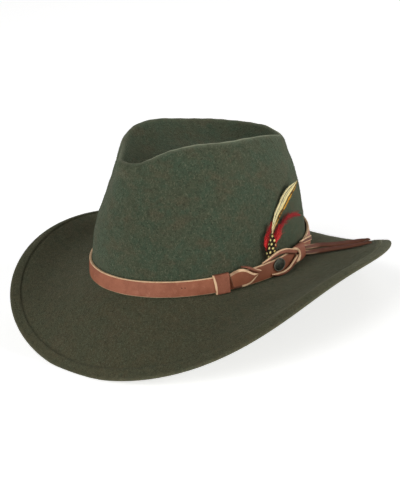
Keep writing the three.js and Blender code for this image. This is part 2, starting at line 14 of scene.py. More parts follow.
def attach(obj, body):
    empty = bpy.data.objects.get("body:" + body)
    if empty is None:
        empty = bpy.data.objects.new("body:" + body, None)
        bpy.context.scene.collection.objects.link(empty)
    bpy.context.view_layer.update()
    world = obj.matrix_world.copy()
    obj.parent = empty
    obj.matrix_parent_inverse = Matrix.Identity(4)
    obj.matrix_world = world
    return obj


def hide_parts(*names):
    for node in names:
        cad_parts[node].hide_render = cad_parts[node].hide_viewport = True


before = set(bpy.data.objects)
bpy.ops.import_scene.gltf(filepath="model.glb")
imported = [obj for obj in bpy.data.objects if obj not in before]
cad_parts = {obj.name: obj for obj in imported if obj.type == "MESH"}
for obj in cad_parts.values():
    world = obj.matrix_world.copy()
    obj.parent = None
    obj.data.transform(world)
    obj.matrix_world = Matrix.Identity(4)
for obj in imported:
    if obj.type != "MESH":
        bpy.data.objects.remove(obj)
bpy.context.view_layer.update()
rng = np.random.default_rng(7)

MM = 0.001
SHIFT = np.array([0.77, 1.53, 0.0])

# ---------------------------------------------------------------- felt
FELT_THICKNESS = 2.2
BREAK_HEIGHT = 46
WELT_WIDTH = 9
WELT_RISE = 0.8
WELT_STEP = 1.2
BRIM_WIDTH = 75
RIDGE_SECTION = 6
RIDGE_SHARE = 0.6
# How light the ridge is painted by angle from the front, a painted highlight: a thin line and the soft
# crest beside it
RIDGE_HIGHLIGHT_LINE = [(0, 0), (12, 0), (28, 0.9), (165, 0.8), (180, 0), (360, 0)]
RIDGE_CREST_HIGHLIGHT = [(0, 0.2), (40, 0.3), (90, 0.3), (180, 0.25), (270, 0.15), (330, 0.25), (360, 0.2)]
# Painted highlight on the crest of the brim's roll and on the welt's strip, by angle from the front
FOLD_HIGHLIGHT_BY_ANGLE = [(50, 0), (75, 0.45), (95, 1), (135, 1), (155, 0)]
BISECTIONS = 22
NUDGE = 0.01  # radians to either side, for directions along a surface
PINCH_AT = 35
PINCH_SPREAD = 26
NOTCH_SPREAD = 35

# Brim by angle from the front: width, then slopes at the break and the edge, left and right side
BRIM_WIDTHS = [75.5, 75, 75, 75, 73.5, 70.5, 74.4]
LEFT_BREAK = [-28, -25, -15, -8, -8, -10, -22.5]
LEFT_EDGE = [-50, -35, 3, 32, 20, -22, -59.5]
RIGHT_BREAK = [-28, -25, -13, -6, -6, -11, -22.5]
RIGHT_EDGE = [-50, -19, 16, 20, 2, -23, -59.5]
# Soft roll beside the brim's edge: how much its crest and the edge itself rise, by angle
CREST_RISE = [0, 0, 2.4, 4.6, 3.4, 0, 0]
RIM_RISE = [0, 0, -0.6, -1, 1.3, 0, 0]
ROLL_CREST = 10
ROLL_REACH = 30
BRIM_STEPS = 40

# Crown sections: half width, front, back, power, heights at front, side and back, dent, notch and
# share of the ridge's own rise
CROWN_SECTIONS = [
    (86, 100, 100, 2, 0, 0, 0, 0, 0, 0),
    (84.5, 97.5, 98.5, 2, 18, 18, 18, 0, 0, 0),
    (82, 92.5, 97, 2, 42, 42, 42, 0.04, 0, 0),
    (74.5, 82.5, 95.3, 2.06, 72, 72, 70, 0.17, 2, 0.3),
    (67, 75.5, 92.7, 2.12, 96, 94, 81, 0.25, 6.5, 0.7),
    (60, 75, 91, 2.23, 113, 107.5, 92, 0.29, 13, 1),
    (56, 72, 87, 2.28, 117.5, 111.5, 95.5, 0.3, 15, 1),
    (51.5, 67.5, 82, 2.28, 113.5, 107.5, 92.5, 0.29, 14.5, 1),
    (36, 59, 68.6, 2.23, 97, 95, 86, 0.2, 8, 0.6),
    (18, 50, 50, 2, 88, 88, 82, 0.08, 2, 0.2),
    (6, 44, 38, 2, 86, 86, 80, 0, 0, 0),
]

# The ridge's rise by angle from the front, left and right side
LEFT_RISE = [0, -1, 2, -0.5, -4.5, -5, 0.5]
RIGHT_RISE = [0, -6, -4.5, 1.3, -1.5, 0.5, 0.5]


def series_around(values, theta):
    """Cosine series through equally spaced stations from front to back."""
    last = len(values) - 1
    total = np.zeros_like(theta)
    for k in range(last + 1):
        term = sum(
            (0.5 if j in (0, last) else 1) * values[j] * math.cos(math.pi * k * j / last)
            for j in range(last + 1)
        )
        total += (2 / last) * (0.5 if k in (0, last) else 1) * term * np.cos(k * theta)
    return total


def section_points(section, theta):
    """Points of one crown section at angles from the front."""
    half_width, front, back, square, z_front, z_side, z_back, dent, notch, share = section
    c, s = np.cos(theta), np.sin(theta)
    power = np.where(c > 0, 2.0, square)
    reach = (np.abs(c) ** power + np.abs(s) ** power) ** (-1 / power)
    degrees = np.degrees(np.arccos(np.clip(c, -1, 1)))
    pinch = 1 - dent * bell(degrees - PINCH_AT, PINCH_SPREAD)
    along = np.abs(c) * reach
    z_end = np.where(c > 0, z_front, z_back)
    dip = notch * bell(degrees, NOTCH_SPREAD)
    x = half_width * s * reach * pinch
    y = np.where(c > 0, -front * along, back * along)
    rise = np.where(s >= 0, series_around(LEFT_RISE, theta), series_around(RIGHT_RISE, theta))
    z = BREAK_HEIGHT + z_side + (z_end - z_side) * along**2 - dip + share * rise
    return np.stack([x, y, z], -1)


def crown_share(theta, share):
    """Points of the crown's outside at angles and shares of the way from the break to the crease."""
    theta, share = np.broadcast_arrays(np.asarray(theta, float), np.asarray(share, float))
    knots = np.array([section_points(row, theta.ravel()) for row in CROWN_SECTIONS])
    last = len(knots) - 1
    knots = np.concatenate([[2 * knots[0] - knots[1]], knots, [2 * knots[-1] - knots[-2]]])
    place = np.clip(share.ravel(), 0, 1) * last
    i = np.minimum(place.astype(int), last - 1)
    w = (place - i)[:, None]
    each = np.arange(len(i))
    p0, p1, p2, p3 = (knots[i + k, each] for k in range(4))

    def root(a, b):
        return np.maximum(((a - b) ** 2).sum(-1, keepdims=True) ** 0.25, 1e-4)

    d0, d1, d2 = root(p0, p1), root(p1, p2), root(p2, p3)
    t1 = ((p1 - p0) / d0 - (p2 - p0) / (d0 + d1) + (p2 - p1) / d1) * d1
    t2 = ((p2 - p1) / d1 - (p3 - p1) / (d1 + d2) + (p3 - p2) / d2) * d1
    point = p1 + t1 * w + (-3 * p1 + 3 * p2 - 2 * t1 - t2) * w**2 + (2 * p1 - 2 * p2 + t1 + t2) * w**3
    return point.reshape(theta.shape + (3,))


def crown_point(theta, height):
    """Points of the crown's outside at angles and heights above the break."""
    theta, height = np.broadcast_arrays(np.asarray(theta, float), np.asarray(height, float))
    low = np.zeros(theta.shape)
    high = np.full(theta.shape, RIDGE_SECTION / (len(CROWN_SECTIONS) - 1))
    for _ in range(BISECTIONS):
        middle = (low + high) / 2
        under = crown_share(theta, middle)[..., 2] - BREAK_HEIGHT < height
        low = np.where(under, middle, low)
        high = np.where(under, high, middle)
    return crown_share(theta, low)


def bell(distance, reach):
    return np.exp(-((distance / reach) ** 2))


def unit(v):
    return v / np.maximum(np.linalg.norm(v, axis=-1, keepdims=True), 1e-9)


def crown_place(at, height, lift):
    """Points lifted off the crown's outside, with its outward normals."""
    theta = np.radians(np.asarray(at, float))
    height = np.asarray(height, float)
    round_ = crown_point(theta + NUDGE, height) - crown_point(theta - NUDGE, height)
    up = crown_point(theta, height + 1) - crown_point(theta, np.maximum(height - 1, 0))
    normal = unit(np.cross(round_, up))
    return crown_point(theta, height) + normal * np.asarray(lift)[..., None], normal


def outward_at(theta):
    """Level directions straight out from the break."""
    ahead = section_points(CROWN_SECTIONS[0], theta + NUDGE)
    behind = section_points(CROWN_SECTIONS[0], theta - NUDGE)
    step = ahead - behind
    return unit(np.stack([step[..., 1], -step[..., 0], 0 * theta], -1))


def brim_points(theta, shares):
    """Points of the brim's upper face: one row for each share of its width."""
    outward = outward_at(theta)
    left = np.sin(theta) >= 0
    start = np.where(left, series_around(LEFT_BREAK, theta), series_around(RIGHT_BREAK, theta))
    end = np.where(left, series_around(LEFT_EDGE, theta), series_around(RIGHT_EDGE, theta))
    width = series_around(BRIM_WIDTHS, theta)
    fine = BRIM_STEPS
    path = [section_points(CROWN_SECTIONS[0], theta)]
    for k in range(fine):
        slope = np.radians(start + (end - start) * (k + 0.5) / fine)
        step = outward * (np.cos(slope) * width / fine)[:, None]
        step[:, 2] = np.sin(slope) * width / fine
        path.append(path[-1] + step)
    path = np.array(path)
    crest, rim = series_around(CREST_RISE, theta), series_around(RIM_RISE, theta)
    rows = []
    for share in shares:
        i = min(int(share * fine), fine - 1)
        row = path[i] + (path[i + 1] - path[i]) * (share * fine - i)
        inside = (1 - share) * BRIM_WIDTH
        if inside < ROLL_CREST:
            row[:, 2] += rim + (crest - rim) * math.sin(math.pi / 2 * inside / ROLL_CREST)
        else:
            down = min((inside - ROLL_CREST) / ROLL_REACH, 1)
            row[:, 2] += crest * (1 + math.cos(math.pi * down)) / 2
        rows.append(row)
    return np.array(rows)


# ---------------------------------------------------------------- meshes
def rows_at(rows, place):
    """Every column of a table along a smooth curve through its rows, at fractions of rows."""
    i = np.minimum(place.astype(int), len(rows) - 2)
    t = (place - i)[:, None]
    a, b, c, d = (rows[np.clip(i + k, 0, len(rows) - 1)] for k in (-1, 0, 1, 2))
    return b + 0.5 * t * (c - a + t * (2 * a - 5 * b + 4 * c - d + t * (3 * (b - c) + d - a)))


def smooth_rows(rows, steps):
    """Every column of a table, sampled evenly along that curve."""
    return rows_at(np.array(rows, float), np.linspace(0, len(rows) - 1, steps))


def linked(name, data):
    """New object in the scene."""
    obj = bpy.data.objects.new(name, data)
    bpy.context.scene.collection.objects.link(obj)
    return obj


def piece(name, points, faces, materials, stands_for=(), which=None, sharp=40, values=None):
    """Mesh object from millimetre points, riding on the hat."""
    mesh = bpy.data.meshes.new(name)
    mesh.from_pydata(((np.asarray(points) + SHIFT) * MM).tolist(), [], [list(f) for f in faces])
    for material in materials:
        mesh.materials.append(material)
    if which is not None:
        mesh.polygons.foreach_set("material_index", np.asarray(which, np.int32))
    for key, numbers in (values or {}).items():
        layer = mesh.attributes.new(key, "FLOAT_VECTOR", "POINT")
        layer.data.foreach_set("vector", np.asarray(numbers, np.float32).ravel())
    mesh.polygons.foreach_set("use_smooth", np.ones(len(mesh.polygons), bool))
    mesh.validate()
    if sharp:
        mesh.set_sharp_from_angle(angle=math.radians(sharp))
    obj = linked(name, mesh)
    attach(obj, "root")
    if stands_for:
        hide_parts(*stands_for)
    return obj


def grid_faces(rows, columns, wrap_columns=True, wrap_rows=False):
    """Quads between the points of a grid that was laid out row by row."""
    faces = []
    for i in range(rows if wrap_rows else rows - 1):
        for j in range(columns if wrap_columns else columns - 1):
            k, l = (i + 1) % rows, (j + 1) % columns
            faces.append((i * columns + j, i * columns + l, k * columns + l, k * columns + j))
    return faces


def end_faces(rows, columns):
    """Faces that close the first and the last row of such a grid."""
    last = (rows - 1) * columns
    return [tuple(range(columns - 1, -1, -1)), tuple(range(last, last + columns))]


FACE_POINTS = 6
SHOULDER_POINTS = 5
BACK_BEVEL = 0.25
WOBBLE_SHARE = 0.3


def strip_section(width, thickness, shoulder=0.8, dome=0.0):
    """Outline of a flat strip as (side, face) offsets, with bevelled shoulders on its outer face."""
    r = min(BACK_BEVEL, 0.2 * width)
    wide = min(shoulder, 0.35 * width)
    deep = min(0.75 * thickness, 0.9 * wide)
    half = width / 2
    points = [(half - r, -thickness / 2), (half, -thickness / 2 + r)]
    bevel = []
    for k in range(SHOULDER_POINTS):
        turn = math.radians(90 * k / (SHOULDER_POINTS - 1))
        side = half - wide + wide * math.cos(turn)
        bevel.append((side, thickness / 2 - deep + deep * math.sin(turn)))
    points += bevel
    for k in range(1, FACE_POINTS):
        share = 1 - 2 * k / FACE_POINTS
        points.append(((half - wide) * share, thickness / 2 + dome * (1 - share * share)))
    points += [(-side, face) for side, face in reversed(bevel)]
    points += [(-half, -thickness / 2 + r), (-half + r, -thickness / 2)]
    for k in range(1, FACE_POINTS):
        share = 2 * k / FACE_POINTS - 1
        points.append(((half - r) * share, -thickness / 2))
    return points


def section_cuts():
    """Which spans of that outline are the strip's cut edges."""
    return ([True] * (SHOULDER_POINTS + 1) + [False] * FACE_POINTS) * 2


def strip(
    name, points, normals, widths, thickness, slot,
    closed=False, dome=0.0, ends=(0, 0), wave=0.0, shoulder=0.8, fade=None,
):
    """Leather strip with brown faces and pale cut edges along a path of places.

    "ends" slants its two ends, "wave" is how much its edges wander and "fade" says how pale they are.
    """
    count = len(points)
    ahead = np.roll(points, -1, 0) if closed else np.vstack([points[1:], points[-1:]])
    behind = np.roll(points, 1, 0) if closed else np.vstack([points[:1], points[:-1]])
    along = unit(ahead - behind)
    across = unit(np.cross(normals, along))
    out = np.cross(along, across)
    vertices, pale = [], []
    wobble = rng.normal(0, wave, (count, 2)) if wave else np.zeros((count, 2))
    for _ in range(3):
        wobble = (wobble + np.roll(wobble, 1, 0) + np.roll(wobble, -1, 0)) / 2
    for i in range(count):
        section = strip_section(widths[i], thickness, shoulder, dome)
        shear = ends[0] if i == 0 else ends[1] if i == count - 1 else 0
        for side, face in section:
            at_edge = abs(side) > widths[i] / 2 - shoulder
            edge = wobble[i][0 if side > 0 else 1] * WOBBLE_SHARE if at_edge else 0
            vertices.append(
                points[i] + across[i] * (side + edge) + out[i] * face + along[i] * side * shear
            )
            pale.append((1.0 if fade is None else fade(i / (count - 1), 2 * side / widths[i]), 0, 0))
    size = len(section)
    faces = grid_faces(count, size, wrap_rows=closed)
    cuts = section_cuts()
    which = [1 if cuts[k % size] else 0 for k in range(len(faces))]
    if not closed:
        faces += end_faces(count, size)
        which += [1, 1]
    return piece(
        name, vertices, faces, [LEATHERS[slot], CUT_EDGE], (name,), which, values={"pale": pale}
    )


def crown_strip(name, rows, thickness, slot, steps=60, **options):
    """Strip along a table of places on the crown."""
    at, height, lift, width = smooth_rows(rows, steps).T
    points, normals = crown_place(at, height, lift + thickness / 2)
    return strip(name, points, normals, width, thickness, slot, **options)


def brim_strip(name, rows, thickness, slot, steps=90, **options):
    """Strip along a table of places over the brim."""
    at, out, height, width, turn = smooth_rows(rows, steps).T
    theta = np.radians(at)
    outward = outward_at(theta)
    points = section_points(CROWN_SECTIONS[0], theta) + outward * out[:, None]
    points[:, 2] += height
    normals = outward * np.cos(np.radians(turn))[:, None]
    normals[:, 2] = np.sin(np.radians(turn))
    return strip(name, points, normals, width, thickness, slot, **options)


# ---------------------------------------------------------------- materials
def linear(r, g, b):
    """Linear colour from 8-bit display values."""
    shares = [v / 255 for v in (r, g, b)]
    return tuple(v / 12.92 if v <= 0.04045 else ((v + 0.055) / 1.055) ** 2.4 for v in shares) + (1,)


class Shader:
    """Principled material with its textures in object coordinates."""

    def __init__(self, name, **settings):
        self.material = bpy.data.materials.new(name)
        self.material.use_nodes = True
        self.tree = self.material.node_tree
        self.tree.nodes.clear()
        output = self.tree.nodes.new("ShaderNodeOutputMaterial")
        self.surface = self.tree.nodes.new("ShaderNodeBsdfPrincipled")
        self.tree.links.new(self.surface.outputs[0], output.inputs["Surface"])
        self.coords = self.tree.nodes.new("ShaderNodeTexCoord").outputs["Object"]
        for socket, value in settings.items():
            self.set(self.surface, socket.replace("_", " "), value)

    def set(self, node, socket, value):
        target = node.inputs[socket]
        if isinstance(value, bpy.types.NodeSocket):
            self.tree.links.new(value, target)
        else:
            target.default_value = value

    def node(self, kind, **inputs):
        node = self.tree.nodes.new("ShaderNode" + kind)
        for socket, value in inputs.items():
            self.set(node, socket, value)
        return node

    def noise(self, scale, detail=4, roughness=0.55, stretch=None, distortion=0):
        coords = self.coords
        if stretch:
            coords = self.node("Mapping", Vector=coords, Scale=stretch).outputs[0]
        node = self.node("TexNoise", Vector=coords, Scale=scale, Detail=detail)
        self.set(node, "Roughness", roughness)
        self.set(node, "Distortion", distortion)
        return node.outputs["Fac"]

    def cells(self, scale):
        return self.node("TexVoronoi", Vector=self.coords, Scale=scale).outputs["Distance"]

    def split(self, vector):
        node = self.node("SeparateXYZ")
        self.tree.links.new(vector, node.inputs[0])
        return node.outputs

    def attribute(self, name):
        node = self.node("Attribute")
        node.attribute_name = name
        return self.split(node.outputs["Vector"])

    def math(self, operation, a, b=0.0):
        node = self.node("Math")
        node.operation = operation
        for k, value in enumerate((a, b)):
            self.set(node, k, value)
        return node.outputs[0]

    def between(self, value, low, high, start=0.0, end=1.0):
        """Value carried smoothly from the span low..high to the span start..end."""
        node = self.node("MapRange")
        node.interpolation_type = "SMOOTHSTEP"
        for k, number in enumerate((value, low, high, start, end)):
            self.set(node, k, number)
        return node.outputs[0]

    def mix(self, share, a, b):
        node = self.node("Mix")
        node.data_type = "RGBA"
        self.set(node, 0, share)
        self.set(node, 6, a)
        self.set(node, 7, b)
        return node.outputs[2]

    def bump(self, height, strength, distance, below=None):
        node = self.node("Bump", Strength=strength, Distance=distance, Height=height)
        if below:
            self.set(node, "Normal", below)
        return node.outputs[0]

    def done(self, colour=None, roughness=None, normal=None):
        for socket, value in (("Base Color", colour), ("Roughness", roughness), ("Normal", normal)):
            if value is not None:
                self.set(self.surface, socket, value)
        return self.material


def felt_material():
    """Wool felt: mottled olive with brown, matted fibres, soft sheen.

    zone.x is 1 on the brim, zone.y where wear lightens its edge and where the roll's crest and the
    welt carry a painted highlight, and zone.z the painted highlight along the crown's ridge.
    """
    s = Shader("wool_felt", Sheen_Weight=0.28, Sheen_Roughness=0.4, Sheen_Tint=linear(200, 204, 178))
    s.set(s.surface, "Specular IOR Level", 0.1)
    brim, edge, ridge = s.attribute("zone")
    base = s.mix(brim, linear(71, 77, 60), linear(80, 76, 57))
    green = s.between(s.noise(75, 4, 0.6), 0.4, 0.6)
    green = s.math("MULTIPLY", green, s.between(brim, 0, 1, 0.7, 0.2))
    base = s.mix(green, base, linear(61, 78, 62))
    brown = s.between(s.noise(58, 5, 0.65, stretch=(1, 1, 1.4)), 0.48, 0.66)
    base = s.mix(s.math("MULTIPLY", brown, 0.55), base, linear(84, 76, 59))
    clouds = s.between(s.noise(260, 4, 0.7), 0.38, 0.66)
    base = s.mix(s.math("MULTIPLY", clouds, 0.45), base, linear(52, 56, 43))
    flecks = s.between(s.noise(850, 3, 0.7, stretch=(1, 1, 0.6), distortion=1.2), 0.5, 0.66)
    base = s.mix(s.math("MULTIPLY", flecks, 0.55), base, linear(106, 110, 88))
    specks = s.between(s.noise(760, 3, 0.65), 0.52, 0.68)
    base = s.mix(s.math("MULTIPLY", specks, 0.55), base, linear(34, 38, 28))
    # Lighter where wear reaches the brim's edge, plus a painted highlight on the roll's crest and the
    # welt on one side
    base = s.mix(s.math("MULTIPLY", edge, 0.8), base, linear(148, 147, 120))
    # Painted highlight along the crown's ridge, broken up by noise
    painted_ridge_highlight = s.math("MULTIPLY", ridge, s.between(s.noise(180, 3), 0.3, 0.6, 0.6, 1.0))
    base = s.mix(painted_ridge_highlight, base, linear(172, 176, 150))
    fibres = s.noise(1500, 3, 0.7, distortion=2)
    matted = s.noise(300, 4, 0.7)
    normal = s.bump(matted, 0.5, 0.0014)
    normal = s.bump(fibres, 0.6, 0.0006, below=normal)
    return s.done(base, 0.95, normal)


# Awl holes in the strap, not cut in the mesh but painted as dark dots: painted shade for their depth
AWL_HOLES = [(0.0558, -0.078, 0.0553), (0.0577, -0.0762, 0.0552)]
AWL_HOLE_RADIUS = 0.0008


def leather_material(name, face, dark, light, oiled=None, holes=()):
    """Oiled leather with a fine grain, darker in the creases and lighter where it is rubbed.

    "oiled" is its tone on the wearer's left side, where the braid starts.
    """
    s = Shader(name)
    s.set(s.surface, "Specular IOR Level", 0.3)
    clouds = s.between(s.noise(90, 4, 0.6), 0.35, 0.68)
    base = s.mix(s.math("MULTIPLY", clouds, 0.55), face, dark)
    rubbed = s.between(s.noise(240, 3, 0.6, distortion=0.6), 0.55, 0.75)
    base = s.mix(s.math("MULTIPLY", rubbed, 0.5), base, light)
    if oiled:
        left, _, _ = s.split(s.coords)
        base = s.mix(s.between(left, 0.073, 0.083, 0.0, 0.7), base, oiled)
    grain = s.cells(1500)
    base = s.mix(s.math("MULTIPLY", s.between(grain, 0.35, 0.75), 0.25), base, dark)
    # Each awl hole as a dark dot, painted shade
    for hole in holes:
        gone = [s.math("POWER", s.math("SUBTRACT", a, b), 2) for a, b in zip(s.split(s.coords), hole)]
        far = s.math("SQRT", s.math("ADD", s.math("ADD", gone[0], gone[1]), gone[2]))
        awl_hole_shade = s.between(far, AWL_HOLE_RADIUS * 0.6, AWL_HOLE_RADIUS, 0.9, 0.0)
        base = s.mix(awl_hole_shade, base, linear(50, 26, 18))
    fine = s.noise(2200, 3, 0.6)
    normal = s.bump(grain, 0.35, 0.0003)
    normal = s.bump(s.noise(160, 3), 0.25, 0.0008, below=normal)
    roughness = s.between(fine, 0.3, 0.7, 0.48, 0.66)
    return s.done(base, roughness, normal)


def cut_edge_material():
    """Raw edge of leather: pale, fibrous, a little soiled. pale.x is 0 where the edge is brown like
    the face instead; on lower edges and tucked ends this brown is painted shade.
    """
    s = Shader("cut_leather_edge")
    s.set(s.surface, "Specular IOR Level", 0.2)
    pale, _, _ = s.attribute("pale")
    soil = s.between(s.noise(320, 4, 0.65), 0.42, 0.72)
    base = s.mix(s.math("MULTIPLY", soil, 0.5), linear(232, 196, 156), linear(178, 124, 88))
    fibre = s.noise(2600, 3, 0.7)
    base = s.mix(s.math("MULTIPLY", s.between(fibre, 0.5, 0.75), 0.3), base, linear(244, 218, 184))
    # Brown where pale.x is 0; on the strips' lower edges and tucked ends that brown is painted shade
    base = s.mix(pale, linear(104, 66, 50), base)
    return s.done(base, 0.85, s.bump(fibre, 0.5, 0.0004))


def pin_material():
    """Dark oxidised metal, brighter where the rim is rubbed. zone.x is 1 on the rim."""
    s = Shader("dark_pin_metal", Metallic=0.7)
    rim, _, _ = s.attribute("zone")
    clouds = s.between(s.noise(700, 4, 0.6), 0.4, 0.65)
    base = s.mix(clouds, linear(38, 42, 34), linear(70, 73, 60))
    base = s.mix(rim, base, linear(112, 110, 98))
    scratches = s.noise(900, 2, 0.6, stretch=(1, 0.2, 3))
    roughness = s.between(scratches, 0.35, 0.65, 0.5, 0.7)
    return s.done(base, roughness, s.bump(s.noise(500, 3), 0.3, 0.0003))


STRIPES = (0.42, 0.04, -0.46)
STRIPE_WIDTH = 0.1
DOT_PITCH = (6.6, 4.6)
DOT_RADIUS = 0.95


def feather_material(name, kind):
    """Vanes. vane.x is the distance from the quill's foot in millimetres; vane.y the one from the
    shaft, for the cream feather as a share of its half width; vane.z is one random value a barb."""
    s = Shader(name)
    s.set(s.surface, "Specular IOR Level", 0.15)
    along, across, chance = s.attribute("vane")
    if kind == "cream":
        base = s.mix(s.math("MULTIPLY", chance, 0.6), linear(248, 238, 190), linear(224, 204, 138))
        gold = s.math("MULTIPLY", s.between(along, 24, 36), s.between(across, -0.55, -0.3, 1.0, 0.0))
        yellow = s.math("MULTIPLY", s.between(across, 0.25, 0.1), 0.35)
        base = s.mix(yellow, base, linear(236, 206, 104))
        base = s.mix(gold, base, linear(214, 158, 44))
        for centre in STRIPES:
            far = s.math("ABSOLUTE", s.math("SUBTRACT", across, centre))
            stripe = s.between(far, STRIPE_WIDTH * 0.5, STRIPE_WIDTH * 1.5, 0.95, 0.0)
            base = s.mix(stripe, base, linear(36, 28, 16))
        spots = s.math("MULTIPLY", s.between(s.noise(260, 2, 0.5), 0.5, 0.56), gold)
        base = s.mix(s.math("MULTIPLY", spots, 0.9), base, linear(92, 52, 14))
    elif kind == "red":
        base = s.mix(s.between(chance, 0.25, 0.75), linear(255, 66, 64), linear(130, 8, 14))
        dark = s.between(along, 14, 32)
        base = s.mix(s.math("MULTIPLY", dark, 0.75), base, linear(112, 10, 16))
    else:
        base = s.mix(chance, linear(20, 17, 14), linear(58, 46, 26))
        c1 = s.math("COSINE", s.math("MULTIPLY", along, 2 * math.pi / DOT_PITCH[0]))
        c2 = s.math("COSINE", s.math("MULTIPLY", across, 2 * math.pi / DOT_PITCH[1]))
        pitch_a, pitch_b = ((p / (2 * math.pi)) ** 2 * 2 for p in DOT_PITCH)
        total = s.math("ADD", s.math("MULTIPLY", c1, pitch_a), s.math("MULTIPLY", c2, pitch_b))
        nearest = s.math("SUBTRACT", pitch_a + pitch_b, s.math("ABSOLUTE", total))
        dots = s.between(nearest, DOT_RADIUS**2 * 0.75, DOT_RADIUS**2 * 1.25, 1.0, 0.0)
        base = s.mix(dots, base, linear(246, 230, 150))
    return s.done(base, 0.55)


FELT = felt_material()
CUT_EDGE = cut_edge_material()
LEATHERS = {
    "strap_leather": leather_material(
        "tan_strap_leather", linear(160, 98, 72), linear(126, 70, 48), linear(188, 128, 98),
        oiled=linear(128, 72, 44), holes=AWL_HOLES,
    ),
    "keeper_leather": leather_material(
        "brown_keeper_leather", linear(152, 93, 70), linear(114, 64, 44), linear(180, 122, 96)
    ),
    "tail_leather": leather_material(
        "dark_tail_leather", linear(112, 66, 50), linear(80, 44, 32), linear(142, 92, 72)
    ),
}

# ---------------------------------------------------------------- felt body
ROUND = 240
ROLL = (FELT_THICKNESS + WELT_RISE) / 2
BRIM_ROWS = 38
CROWN_ROWS = 131
CLOSING_SHARES = (0.75, 0.5, 0.25, 0.0)
RIM_TURNS = (60, 30, 0, -30, -60)
FAR_INSIDE = 999
GROOVE = 0.28
GROOVE_AT = 0.3
GROOVE_REACH = 0.7
# Waves in the felt: their height, where they end on the brim, where they start on the crown
SOFTNESS = 0.35
SOFT_BRIM, SOFT_BRIM_FADE = 60, 30
SOFT_CROWN, SOFT_CROWN_FADE = 22, 20
# Worn edge of the brim, and painted highlights on the roll's crest, the welt and the ridge: strength
# and reach, across the brim in millimetres and up the crown in shares
WORN_EDGE, WORN_REACH = 0.15, 1.6
FOLD_HIGHLIGHT, FOLD_REACH = 0.8, 1.8
WELT_HIGHLIGHT = 0.1
LINE_REACH, LINE_NEARER = 0.02, 0.009
CREST_REACH = 0.05


